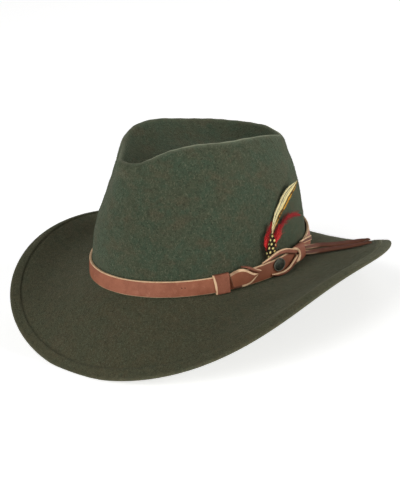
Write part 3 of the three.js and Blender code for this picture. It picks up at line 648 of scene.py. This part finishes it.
def felt_body():
    """Crown and brim as one closed shell, with a rolled rim and the welt's step."""
    theta = 2 * math.pi * np.arange(ROUND) / ROUND
    fold = 1 - (WELT_WIDTH + WELT_STEP) / BRIM_WIDTH
    shares = np.concatenate([
        np.linspace(1 - ROLL / BRIM_WIDTH, 1 - WELT_WIDTH / BRIM_WIDTH, 8),
        1 - (WELT_WIDTH + WELT_STEP * np.array([0.2, 0.4, 0.6, 0.8, 1])) / BRIM_WIDTH,
        np.linspace(fold - 0.02, 0, BRIM_ROWS),
    ])
    brim = brim_points(theta, shares)
    crown_shares = np.linspace(0, 1, CROWN_ROWS)[1:]
    crown = np.stack([crown_share(theta, share) for share in crown_shares])
    rows = np.concatenate([brim, crown])
    rows = np.concatenate([rows, [rows[-1] * [share, 1, 1] for share in CLOSING_SHARES]])

    up = np.gradient(rows, axis=0)
    round_ = np.roll(rows, -1, 1) - np.roll(rows, 1, 1)
    normals = unit(np.cross(round_, up))
    folded = len(CLOSING_SHARES)
    normals[-folded:] = unit(normals[-folded - 1] * [0.3, 1, 1] + [0, 0, 0.5])

    inside = (1 - np.append(shares, np.zeros(len(rows) - len(shares)))) * BRIM_WIDTH
    inside[len(shares):] = FAR_INSIDE
    step = np.clip((inside - WELT_WIDTH) / WELT_STEP, 0, 1)
    rise = WELT_RISE * (1 - step * step * (3 - 2 * step))
    groove = -GROOVE * bell(inside - WELT_WIDTH - WELT_STEP - GROOVE_AT, GROOVE_REACH)
    x, y, z = rows[..., 0], rows[..., 1], rows[..., 2]
    soft = (
        np.sin(x * 0.071 + y * 0.043 + 1.3) * np.sin(y * 0.083 - z * 0.057)
        + 0.6 * np.sin(x * 0.19 + z * 0.13) * np.sin(y * 0.17 + z * 0.11 + 0.7)
        + 0.35 * np.sin(x * 0.41 + y * 0.37 + z * 0.3)
    )
    height = z - BREAK_HEIGHT
    calm = np.where(
        np.arange(len(rows))[:, None] < len(shares),
        np.clip((SOFT_BRIM - (BRIM_WIDTH - inside[:, None])) / SOFT_BRIM_FADE, 0, 1) / 2,
        np.clip((height - SOFT_CROWN) / SOFT_CROWN_FADE, 0, 1),
    )
    offset = (rise + groove)[:, None] + SOFTNESS * soft * calm
    outer = rows + normals * offset[..., None]
    inner = rows + normals * (SOFTNESS * soft * calm - FELT_THICKNESS)[..., None]

    tangent = unit(rows[0] - rows[3])
    middle = rows[0] + normals[0] * (WELT_RISE - ROLL)
    rim = []
    for turn in np.radians(RIM_TURNS):
        rim.append(middle + ROLL * (math.cos(turn) * tangent + math.sin(turn) * normals[0]))
    grid = np.concatenate([inner[::-1], np.array(rim)[::-1], outer])
    grid[..., 2] = np.maximum(grid[..., 2], 0)

    count = len(rows)
    edge = WORN_EDGE * bell(inside, WORN_REACH)
    on_brim = np.where(np.arange(count) < len(shares), 1.0, 0.0)
    share = np.concatenate([np.zeros(len(shares)), crown_shares, np.ones(folded)])
    # Painted highlight along the ridge: a thin line just inside the crest and the soft crest itself,
    # by angle from the front
    line = bell(share - RIDGE_SHARE + LINE_NEARER, LINE_REACH)
    crest = bell(share - RIDGE_SHARE, CREST_REACH)
    line_side, crest_side, lit = (
        np.interp(np.degrees(theta), *np.array(table, float).T)
        for table in (RIDGE_HIGHLIGHT_LINE, RIDGE_CREST_HIGHLIGHT, FOLD_HIGHLIGHT_BY_ANGLE)
    )
    ridge = np.maximum(line[:, None] * line_side, crest[:, None] * crest_side)
    # Painted highlight on the roll's crest and the welt's strip, only on the side the light falls on;
    # the edge's wear goes all round
    fold_highlight_line = FOLD_HIGHLIGHT * bell(inside - ROLL_CREST, FOLD_REACH)
    welt_strip_highlight = WELT_HIGHLIGHT * (inside < WELT_WIDTH)
    edge = np.maximum(edge[:, None], np.maximum(fold_highlight_line, welt_strip_highlight)[:, None] * lit)
    zone_rows = np.stack([np.repeat(on_brim[:, None], ROUND, 1), edge, ridge], 2)
    zone_rim = np.tile([1.0, 0.05, 0.0], (len(RIM_TURNS), ROUND, 1))
    zone = np.concatenate([(zone_rows * [1, 0, 0])[::-1], zone_rim, zone_rows])
    return grid, zone, outer


def felt_piece():
    """The felt as one mesh object. Gives back its outer face."""
    grid, zone, outer = felt_body()
    obj = piece(
        "felt_hat", grid.reshape(-1, 3), grid_faces(len(grid), ROUND), [FELT], ("felt_body",),
        sharp=0, values={"zone": zone.reshape(-1, 3)},
    )
    mesh = bmesh.new()
    mesh.from_mesh(obj.data)
    bmesh.ops.remove_doubles(mesh, verts=mesh.verts, dist=0.00002)
    bmesh.ops.recalc_face_normals(mesh, faces=mesh.faces)
    mesh.to_mesh(obj.data)
    mesh.free()
    return outer


NAP_FIBRES = 36000
NAP_LENGTHS = (0.5, 1.5)
NAP_HALF_WIDTHS = (0.05, 0.09)
NAP_ROOT = 0.1


def nap(outer, count):
    """Short wool fibres that stand off the felt."""
    a = outer[:-1].reshape(-1, 3)
    b = np.roll(outer, -1, 1)[:-1].reshape(-1, 3)
    c = outer[1:].reshape(-1, 3)
    cross = np.cross(b - a, c - a)
    area = np.linalg.norm(cross, axis=1)
    keep = area > 0.01
    a, b, c, cross, area = a[keep], b[keep], c[keep], cross[keep], area[keep]
    chosen = rng.choice(len(a), count, p=area / area.sum())
    u, v = rng.random((2, count, 1))
    root = a[chosen] + (b - a)[chosen] * u + (c - a)[chosen] * v
    normal = unit(cross[chosen])
    lean = unit(normal * rng.uniform(0.25, 1.0, (count, 1)) + rng.normal(0, 0.7, (count, 3)))
    lean = np.where((lean * normal).sum(1, keepdims=True) < 0.1, normal, lean)
    length = rng.uniform(*NAP_LENGTHS, (count, 1))
    side = unit(np.cross(lean, rng.normal(0, 1, (count, 3))))
    side = side * rng.uniform(*NAP_HALF_WIDTHS, (count, 1))
    root = root - normal * NAP_ROOT
    tip = root + lean * length
    tip[:, 2] = np.maximum(tip[:, 2], NAP_ROOT)
    vertices = np.stack([root - side, root + side, tip], 1).reshape(-1, 3)
    faces = np.arange(count * 3).reshape(-1, 3)
    zone = np.zeros((count * 3, 3))
    zone[:, 0] = np.repeat(root[:, 2] < BREAK_HEIGHT + 2, 3)
    piece("felt_nap", vertices, faces.tolist(), [FELT], sharp=0, values={"zone": zone})


nap(felt_piece(), NAP_FIBRES)

# ---------------------------------------------------------------- leather tables
BAND_WIDTH = 13
BAND_THICKNESS = 2
BRAID_THICKNESS = 1.5
LOOP_THICKNESS = 1.6
TAIL_THICKNESS = 1.6
GAP = 0.35
SLIDE_WALL = 1.1
KNOT_WALL = 1.4

# Rows of angle from the front, foot above the break and lift
BAND_PATH = [
    (0, 1.6, 0.35), (60, 1.6, 0.35), (112, 1.6, 0.35), (135, 3.6, 1.3), (165, 5, 1.3),
    (200, 4.4, 0.8), (240, 3, 0.35), (300, 1.6, 0.35), (360, 1.6, 0.35),
]

# Rows of angle, height, lift and width
LEAF_PATH = [
    (62.7, 8.6, 2.65, 13.2), (65, 9.3, 2.65, 14.6), (67.5, 9.5, 2.65, 15.2), (70, 8.6, 2.65, 13.6),
    (72, 8.1, 2.65, 10.6), (74, 8.2, 2.65, 6.6), (76.5, 9, 2.65, 0.8),
]
CROSS_PATH = [
    (68, 18.7, 2.65, 1), (70.5, 17.3, 2.65, 2), (72.5, 15.6, 2.65, 2.6), (74.5, 13.5, 2.65, 2.8),
    (77, 11.4, 2.65, 2.4), (78.4, 10.8, 2.65, 1.2),
]
UPPER_LOOP_PATH = [
    (79.5, 16.1, 3.2, 1.2), (82.5, 17.6, 4.3, 2.2), (86.5, 19.3, 4.7, 3.2), (90.5, 19.8, 4.3, 3.8),
    (95, 18.6, 4.1, 4.2), (99.5, 15.8, 4.1, 4.2), (103, 13.6, 4.15, 3.8), (106.4, 13.1, 4.15, 3.7),
]
LOWER_LOOP_PATH = [
    (85, 3.6, 2.7, 1.6), (88, 2.3, 3.2, 2.6), (92, 1.7, 3.8, 3), (96.5, 2.8, 4, 3.2),
    (100.5, 5.7, 4.1, 3.4), (103.5, 7.9, 4.15, 3.4), (106.4, 8.2, 4.15, 3.6),
]
STRAP_END_PATH = [(110.4, 16.3, 2.75, 3), (117, 14.6, 3.4, 3.8), (124, 12.2, 4.8, 4.2)]

# Rows of angle, distance out from the break, height above it, width and turn
UPPER_TAIL_PATH = [
    (107.2, 4, 13, 3.6, 0), (110.8, 4.3, 12.4, 3.7, 0), (117.5, 8, 9.1, 4, 30),
    (123.5, 12, 6.4, 4.4, 45), (127.1, 22, 4.2, 4.8, 50), (129.9, 35, 3.5, 4.9, 50),
    (131.2, 46, 3.8, 4.8, 50), (131, 52, 4.8, 4.7, 50),
]
LOWER_TAIL_PATH = [
    (107.2, 4.45, 8.2, 3.6, 0), (110.8, 4.75, 7.8, 3.7, 0), (116, 8.5, 5.2, 4.2, 35),
    (121, 13.5, 3.2, 4.4, 50), (125.2, 24, 2, 4.7, 55), (127.9, 37, 2, 4.8, 55),
    (129, 47, 2.8, 4.6, 55), (129.1, 53, 3.9, 4.4, 55),
]


def band():
    """The closed strap round the crown."""
    at = np.arange(0, 360, 1.0)
    rows = np.array(BAND_PATH, float)
    after = np.searchsorted(rows[:, 0], at, side="right")
    place = after - 1 + (at - rows[after - 1, 0]) / (rows[after, 0] - rows[after - 1, 0])
    _, foot, lift = rows_at(rows, place).T
    lift = np.maximum(lift, GAP)
    points, normals = crown_place(at, foot + BAND_WIDTH / 2, lift + BAND_THICKNESS / 2)
    width = np.full(len(at), float(BAND_WIDTH))
    strip(
        "band_strap", points, normals, width, BAND_THICKNESS, "strap_leather",
        closed=True, dome=0.12, wave=0.12, shoulder=0.6, fade=band_fade,
    )


SLIDE_FROM = 54.9
SLIDE_TO = 61.5
SLIDE_CORNER = 0.9
SLIDE_DOME = 0.15
SLIDE_SLANT = 1.2
SLIDE_BEVEL = 0.7
SLIDE_BULGE = 0.12
SLIDE_SHARES = (0, 0.035, 0.07, 0.18, 0.3, 0.4, 0.5, 0.6, 0.7, 0.8, 0.9, 1)


def slide_keeper():
    """Narrow loop round the strap, its left end cut on a slant."""
    foot = BAND_PATH[0][1]
    low, high = foot - GAP, foot + BAND_WIDTH + GAP
    near = GAP + BAND_THICKNESS + GAP
    far = near + SLIDE_WALL
    r = SLIDE_CORNER

    def corner(height, begin):
        turns = [math.radians(begin + 90 * k / 5) for k in range(6)]
        return [(height + r * math.cos(turn), far - r + r * math.sin(turn)) for turn in turns]

    outline = [(low - SLIDE_WALL, GAP)]
    outline += [(low, GAP), (low, near), (high, near), (high, GAP), (high + SLIDE_WALL, GAP)]
    outline += corner(high + SLIDE_WALL - r, 0)
    middle, half = (low + high) / 2, (high - low) / 2
    for k in range(1, 8):
        share = 1 - 2 * k / 8
        outline.append((middle + half * share, far + SLIDE_DOME * (1 - share * share)))
    outline += corner(low - SLIDE_WALL + r, 90)
    height, lift = np.array(outline).T
    up = np.clip((height - low) / (high - low), 0, 1)
    outside = lift > near + 0.1
    loops = []
    for share in SLIDE_SHARES:
        start = SLIDE_FROM - SLIDE_SLANT * up**3
        at = start + (SLIDE_TO - start) * share
        bevel = SLIDE_BEVEL * (1 - min(share / SLIDE_SHARES[2], 1)) ** 1.5
        bulge = SLIDE_BULGE * math.sin(math.pi * share)
        points, _ = crown_place(at, height, lift + (bulge - bevel) * outside)
        loops.append(points)
    count = len(outline)
    faces = grid_faces(len(loops), count)
    which = [1 if k < 2 * count and outside[k % count] else 0 for k in range(len(faces))]
    faces += end_faces(len(loops), count)
    which += [1, 1]
    points = np.concatenate(loops)
    piece(
        "slide_keeper", points, faces, [LEATHERS["keeper_leather"], CUT_EDGE],
        ("slide_keeper",), which, 50, {"pale": np.tile([1.0, 0, 0], (len(points), 1))},
    )


KNOT_BOX = (4.3, 17.6, 2.7, 7.6)  # height from and to, lift from and to
KNOT_MOUTH = 104.3
KNOT_END = 109.6
KNOT_POINTS = 44
KNOT_BOW = (3.6, 2.8)  # degrees the mouth comes forward at its upper and its lower side
KNOT_SWELL = 0.3
KNOT_BEVEL = 0.5
KNOT_SHARES = (0, 0.04, 0.1, 0.25, 0.4, 0.52, 0.64, 0.76, 0.88, 1)


def knot_keeper():
    """Sleeve of leather that gathers both strands, its mouth cut in a bow."""
    low, high, near, far = KNOT_BOX
    ring = []
    for k in range(KNOT_POINTS):
        turn = 2 * math.pi * k / KNOT_POINTS
        c, s = math.cos(turn), math.sin(turn)
        ring.append((abs(c) ** 0.5 * np.sign(c), abs(s) ** 0.75 * np.sign(s)))
    ring = np.array(ring)
    middle, half = (low + high) / 2, (high - low) / 2
    centre, deep = (near + far) / 2, (far - near) / 2

    def loop(at, inset):
        height = middle + ring[:, 0] * (half - inset)
        lift = centre + ring[:, 1] * (deep - inset)
        return crown_place(at, height, lift)[0]

    outer, inner = [], []
    up = ring[:, 0]
    mouth = KNOT_MOUTH - np.where(up > 0, *KNOT_BOW) * up**2
    for share in KNOT_SHARES:
        at = mouth + (KNOT_END - mouth) * share
        swell = KNOT_SWELL * math.sin(math.pi * share)
        bevel = KNOT_BEVEL * (1 - min(share / KNOT_SHARES[2], 1)) ** 1.5
        outer.append(loop(at, bevel - swell))
        inner.append(loop(at, KNOT_WALL))
    count = len(ring)
    rows = outer + inner[::-1]
    faces = grid_faces(len(rows), count, wrap_rows=True)
    last = len(KNOT_SHARES) - 1
    cut_rows = (0, 1, last, len(rows) - 1)
    which = [1 if k // count in cut_rows else 0 for k in range(len(faces))]
    pale = np.tile([1.0, 0, 0], (len(rows) * count, 1))
    piece(
        "knot_keeper", np.concatenate(rows), faces, [LEATHERS["keeper_leather"], CUT_EDGE],
        ("knot_keeper",), which, 50, {"pale": pale},
    )


PIN_PLACE = (90.5, 9.3, 2.65)  # angle, height and lift
PIN_RADII = (6.8, 5.4)
PIN_POINTS = 72
PIN_RIM = (1, 7)
# Rows of radius, as a share, and rise
PIN_PROFILE = [
    (0.9, 0), (0.97, 0.05), (1, 0.3), (1, 0.6), (0.985, 0.9), (0.95, 1.05), (0.91, 1.05),
    (0.88, 0.92), (0.86, 0.8), (0.82, 0.86), (0.7, 1.15), (0.55, 1.4), (0.4, 1.58), (0.22, 1.68),
    (0.08, 1.7),
]


def pin():
    """Plain low oval dome with a thin rim."""
    point, normal = (v[0] for v in crown_place(*([value] for value in PIN_PLACE)))
    along = unit(np.cross([0, 0, 1], normal))
    across = np.cross(normal, along)
    turn = np.linspace(0, 2 * math.pi, PIN_POINTS, endpoint=False)[:, None]
    oval = along * np.cos(turn) * PIN_RADII[0] + across * np.sin(turn) * PIN_RADII[1]
    loops = [point + oval * radius + normal * rise for radius, rise in PIN_PROFILE]
    faces = grid_faces(len(loops), PIN_POINTS) + end_faces(len(loops), PIN_POINTS)
    on_rim = [PIN_RIM[0] <= k <= PIN_RIM[1] for k in range(len(loops))]
    rim = np.repeat([[1.0 if on else 0.0, 0, 0] for on in on_rim], PIN_POINTS, 0)
    piece(
        "band_pin", np.concatenate(loops), faces, [pin_material()], ("band_pin",),
        sharp=50, values={"zone": rim},
    )


# How pale the cut edges are, by share of the strip's length and side: 1 its upper edge, -1 its lower.
# Darker lower edges and tucked ends are painted shade
def tail_fade(share, side):
    return 0.9 * max(0.0, 1 - share / 0.4)


def leaf_fade(share, side):
    # Darker at the left end, by the slide keeper, and along the first part of the lower edge: painted
    # shade
    if side > 0:
        return min(max((share - 0.18) / 0.12, 0.45), 1.0)
    return min(max((share - 0.32) / 0.1, 0.0), 1.0)


def cross_fade(share, side):
    # Lower edge darker: painted shade; the upper edge is pale only on its right half
    return min(max((share - 0.5) / 0.15, 0.0), 1.0) if side > 0 else 0.0


def upper_side(share, side):
    # Lower edges darker: painted shade
    return min(max(side * 2, 0.0), 1.0)


def band_fade(share, side):
    # The lower edge less pale: painted shade
    return 1.0 if side > 0 else 0.45


band()
slide_keeper()
crown_strip(
    "braid_leaf", LEAF_PATH, BRAID_THICKNESS, "strap_leather", dome=0.15, shoulder=2, fade=leaf_fade
)
crown_strip(
    "braid_cross", CROSS_PATH, BRAID_THICKNESS, "keeper_leather",
    dome=0.1, shoulder=0.6, fade=cross_fade,
)
crown_strip(
    "eye_loop_upper", UPPER_LOOP_PATH, LOOP_THICKNESS, "keeper_leather", dome=0.1, fade=upper_side
)
crown_strip(
    "eye_loop_lower", LOWER_LOOP_PATH, LOOP_THICKNESS, "keeper_leather", dome=0.1, fade=upper_side
)
knot_keeper()
crown_strip("strap_end", STRAP_END_PATH, BRAID_THICKNESS, "tail_leather", dome=0.1)
for tail, path in (("tail_upper", UPPER_TAIL_PATH), ("tail_lower", LOWER_TAIL_PATH)):
    brim_strip(
        tail, path, TAIL_THICKNESS, "tail_leather", dome=0.1, ends=(0, -1), wave=0.1, fade=tail_fade
    )
pin()

# ---------------------------------------------------------------- feathers
LONG_FEATHER_PATH = [
    (85.8, 15.6, 0.5, 1.2), (87, 26, 0.5, 1.3), (90.1, 36.8, 0.5, 1.8), (91.4, 40.9, 0.6, 5),
    (95.3, 47.7, 0.9, 7.5), (98.8, 51.7, 1.3, 9), (101.9, 55.2, 2, 10.4), (104.9, 58.6, 2.9, 10.2),
    (107.8, 60.9, 3.8, 8.4), (111.1, 62.7, 4.8, 6), (115, 64.9, 6.2, 1.2),
]
PLUME_PATH = [
    (86.6, 15.6, 1.45, 2.4), (88.5, 25, 1.5, 4), (91.6, 32, 1.6, 7.4), (95.9, 38.5, 1.9, 8.2),
    (99.1, 41.2, 2.3, 7.8), (101.9, 42.8, 2.8, 7), (105.3, 42.9, 3.4, 6), (108.5, 41.4, 4.1, 4.2),
    (111.7, 39.4, 4.8, 1.4),
]
HACKLE_PATH = [
    (84.8, 15.6, 2.35, 2.4), (84.6, 23.7, 2.4, 4.6), (83.6, 29.8, 2.45, 6), (84.8, 35.4, 2.55, 6.2),
    (86.8, 39.9, 2.65, 4.8), (88.9, 45.5, 2.8, 1.2),
]
SIDE_HACKLE_PATH = [
    (87.2, 18, 2.5, 2.5), (87.8, 26, 2.5, 5), (89.7, 30.6, 2.5, 8), (91.6, 34.6, 2.5, 8),
    (93.2, 37.6, 2.6, 5), (94.6, 40.4, 2.7, 1.5),
]
GUINEA_PATH = [
    (84.9, 16.1, 3.25, 6), (85, 19, 3.25, 9), (85.1, 22.1, 3.4, 11), (86.2, 27.4, 3.5, 9.6),
    (87.2, 32.3, 3.7, 6.4), (87.4, 36.6, 3.8, 1.2),
]
FEATHER_FOOT = (86.5, 25)
FEATHER_STIFFNESS = 0.6
SPINE_STEPS = 400
BARB_BENDS = 6
BARB_CURL = 0.6
BARB_TAPER = 0.8
BARB_LEANS = (0.1, 1.2)  # least and most, in radians from the shaft
LONGEST_BARB = 18
# How a tuft's barbs differ in length and in degrees, and how strongly they draw together
TUFT_REACH = 0.22
TUFT_TURN = 5
TUFT_PULL = 0.75
SHAFT_SIDES = 8
SHAFT_STEP = 8
SHAFT_TAPER = 0.85


def feather(name, node, rows, kind, spacing, sweep, loose, blade, tuft=0.0, shaft=0.4):
    """Vane of single barbs on both sides of a tapering shaft.

    Barbs stand at "sweep" degrees from the shaft and "loose" is how much they scatter. The barbs of
    one "tuft", a length of the shaft, draw together at their tips.
    """
    at, height, lift, width = smooth_rows(rows, SPINE_STEPS).T
    spine, normals = crown_place(at, height, lift + 0.3)
    facing = crown_place(FEATHER_FOOT[:1], FEATHER_FOOT[1:], [0])[1][0]
    normals = unit(normals * (1 - FEATHER_STIFFNESS) + facing * FEATHER_STIFFNESS)
    travelled = np.concatenate([[0], np.cumsum(np.linalg.norm(np.diff(spine, axis=0), axis=1))])
    total = travelled[-1]
    along = unit(np.gradient(spine, axis=0))
    across = unit(np.cross(normals, along))
    out = np.cross(along, across)
    tufts = rng.normal(0, 1, (2, 2, int(total / max(tuft, 1)) + 2))
    vertices, faces, values = [], [], []
    for k in range(int(total / spacing)):
        for upper, side in enumerate((-1, 1)):
            start = np.clip((k + rng.uniform(-0.4, 0.4)) * spacing, 0, total - 0.2)
            i = min(int(np.searchsorted(travelled, start)), SPINE_STEPS - 1)
            lean = math.radians(sweep + rng.normal(0, 2 + loose * 3))
            tips = (travelled[i:] - start) * math.tan(max(lean, BARB_LEANS[0]))
            beyond = np.nonzero(tips > width[i:] / 2)[0]
            reach = width[i + (beyond[0] if len(beyond) else 0)] / 2
            reach *= rng.uniform(1 - 0.2 * loose, 1 + 0.1 * loose)
            if tuft:
                which = int(start / tuft)
                reach *= 1 + TUFT_REACH * tufts[0][upper][which]
                lean += math.radians(TUFT_TURN * tufts[1][upper][which])
                lean += TUFT_PULL * (start - (which + 0.5) * tuft) / max(reach, 1)
            lean = min(max(lean, BARB_LEANS[0]), BARB_LEANS[1])
            room = (total - start) * 1.02 + 0.8
            length = min(reach / math.sin(max(lean, 0.2)), room, LONGEST_BARB)
            stray = rng.normal(0, 0.1 + 0.35 * loose)
            chance = rng.random()
            if tuft:
                chance = min(max(0.5 * chance + 0.25 + 0.3 * tufts[1][upper][which - 1], 0), 1)
            bend = math.radians(rng.normal(4, 5 * loose + 2))
            point, turn, gone = spine[i].copy(), lean, 0.0
            for b in range(BARB_BENDS + 1):
                share = b / BARB_BENDS
                j = min(int(np.searchsorted(travelled, start + gone)), SPINE_STEPS - 1)
                direction = along[j] * math.cos(turn) + across[j] * side * math.sin(turn)
                if b:
                    point = point + direction * length / BARB_BENDS
                    gone += length / BARB_BENDS * math.cos(turn)
                turn = lean - bend * share
                lifted = point + out[j] * (BARB_CURL * share**2 + stray * share)
                half = blade * (1 - BARB_TAPER * share**2)
                edge = unit(np.cross(out[j], direction))
                offset = float(np.dot(point - spine[j], across[j]))
                if kind == "cream":
                    offset /= max(width[j] / 2, 0.6)
                vertices += [lifted - edge * half, lifted + edge * half]
                values += [(start + gone, offset, chance)] * 2
                if b:
                    v = len(vertices) - 2
                    faces.append((v - 2, v - 1, v + 1, v))
    first = len(vertices)
    stations = range(0, SPINE_STEPS, SHAFT_STEP)
    for i in stations:
        radius = shaft * (1 - SHAFT_TAPER * i / SPINE_STEPS)
        for k in range(SHAFT_SIDES):
            turn = 2 * math.pi * k / SHAFT_SIDES
            vertices.append(spine[i] + radius * (math.cos(turn) * across[i] + math.sin(turn) * out[i]))
            values.append((travelled[i], 0.2, 0.3))
    tube = grid_faces(len(stations), SHAFT_SIDES) + end_faces(len(stations), SHAFT_SIDES)
    faces += [tuple(first + v for v in face) for face in tube]
    piece(
        name, vertices, faces, [feather_material(name + "_vane", kind)], (node,),
        sharp=0, values={"vane": values},
    )


feather(
    "feather_long", "feather_long", LONG_FEATHER_PATH, "cream",
    spacing=0.22, sweep=15, loose=0.12, blade=0.26,
)
feather(
    "feather_plume", "feather_plume", PLUME_PATH, "red",
    spacing=0.34, sweep=21, loose=1.5, blade=0.14, tuft=3.8, shaft=0.24,
)
for hackle, path in (("feather_hackle", HACKLE_PATH), ("side_hackle", SIDE_HACKLE_PATH)):
    feather(
        hackle, "feather_hackle", path, "red",
        spacing=0.24, sweep=20, loose=1.1, blade=0.13, tuft=2.2,
    )
feather(
    "feather_guinea", "feather_guinea", GUINEA_PATH, "dotted",
    spacing=0.17, sweep=38, loose=0.12, blade=0.26,
)

# ---------------------------------------------------------------- light, floor and camera
CAMERA_TARGET = (0.77, 1.53, 46)
CAMERA_AZIMUTH = 45
CAMERA_HEIGHT_ANGLE = 20.3
CAMERA_ROLL = -4.9
CAMERA_DISTANCE = 1080
FOCAL_PIXELS = 1252
PICTURE_HEIGHT = 500
SENSOR_WIDTH = 36
CLIP = (0.05, 30)  # metres
AXIS_OFFSET = (1.0, 5.9)  # pixels right and down from the picture's middle

SKY = 0.08
FLOOR_GLOW = 0.62
FLOOR_REACH = 40
FLOOR_DROP = 0.0005
LIGHTS_AIM = (0, 0, 0.08)
LIGHT_DISTANCE = 3.6
LIGHT_SIZE = 2
# Name, azimuth round from the front, height angle and power
LIGHTS = [
    ("front_low_light", 0, 12, 56), ("front_high_light", 10, 45, 35), ("left_low_light", 120, 14, 96),
    ("back_light", 200, 35, 12), ("right_light", 270, 35, 8),
]


def from_middle(azimuth, rise):
    """Direction at an angle round from the front and one above the floor, in radians."""
    return (
        math.sin(azimuth) * math.cos(rise), -math.cos(azimuth) * math.cos(rise), math.sin(rise)
    )


def studio():
    """Pale floor, faint sky and soft lights."""
    shader = Shader("studio_floor", Emission_Strength=FLOOR_GLOW, Emission_Color=(1, 1, 1, 1))
    shader.set(shader.surface, "Specular IOR Level", 0.0)
    tone = shader.mix(shader.noise(3, 2), linear(238, 238, 237), linear(243, 243, 242))
    paint = shader.done(tone, 0.9)
    mesh = bpy.data.meshes.new("studio_floor")
    sheet = bmesh.new()
    bmesh.ops.create_grid(sheet, x_segments=4, y_segments=4, size=FLOOR_REACH)
    sheet.to_mesh(mesh)
    sheet.free()
    mesh.materials.append(paint)
    floor = linked("studio_floor", mesh)
    floor.location.z = -FLOOR_DROP

    world = bpy.data.worlds.new("studio_world")
    world.use_nodes = True
    sky = world.node_tree.nodes["Background"].inputs
    sky["Color"].default_value = (1, 1, 1, 1)
    sky["Strength"].default_value = SKY
    bpy.context.scene.world = world

    for name, azimuth, rise, power in LIGHTS:
        data = bpy.data.lights.new(name, "AREA")
        data.size = LIGHT_SIZE
        data.energy = power
        light = linked(name, data)
        place = Vector(from_middle(math.radians(azimuth), math.radians(rise))) * LIGHT_DISTANCE
        light.location = place
        light.rotation_euler = (Vector(LIGHTS_AIM) - place).to_track_quat("-Z", "Y").to_euler()


def camera():
    """Camera at the photograph's viewing angle."""
    azimuth, rise, roll = (math.radians(v) for v in (CAMERA_AZIMUTH, CAMERA_HEIGHT_ANGLE, CAMERA_ROLL))
    back = Vector(from_middle(azimuth, rise))
    right = Vector((math.cos(azimuth), math.sin(azimuth), 0))
    up = back.cross(right)
    c, s = math.cos(roll), math.sin(roll)
    right, up = right * c + up * s, up * c - right * s
    data = bpy.data.cameras.new("photo_camera")
    data.sensor_width = SENSOR_WIDTH
    data.lens = FOCAL_PIXELS / PICTURE_HEIGHT * data.sensor_width
    data.shift_x = -AXIS_OFFSET[0] / PICTURE_HEIGHT
    data.shift_y = AXIS_OFFSET[1] / PICTURE_HEIGHT
    data.clip_start, data.clip_end = CLIP
    obj = linked("photo_camera", data)
    place = (Vector(CAMERA_TARGET) + back * CAMERA_DISTANCE) * MM
    matrix = Matrix((right, up, back)).transposed().to_4x4()
    matrix.translation = place
    obj.matrix_world = matrix
    bpy.context.scene.camera = obj


studio()
camera()
bpy.context.scene.view_settings.view_transform = "Standard"
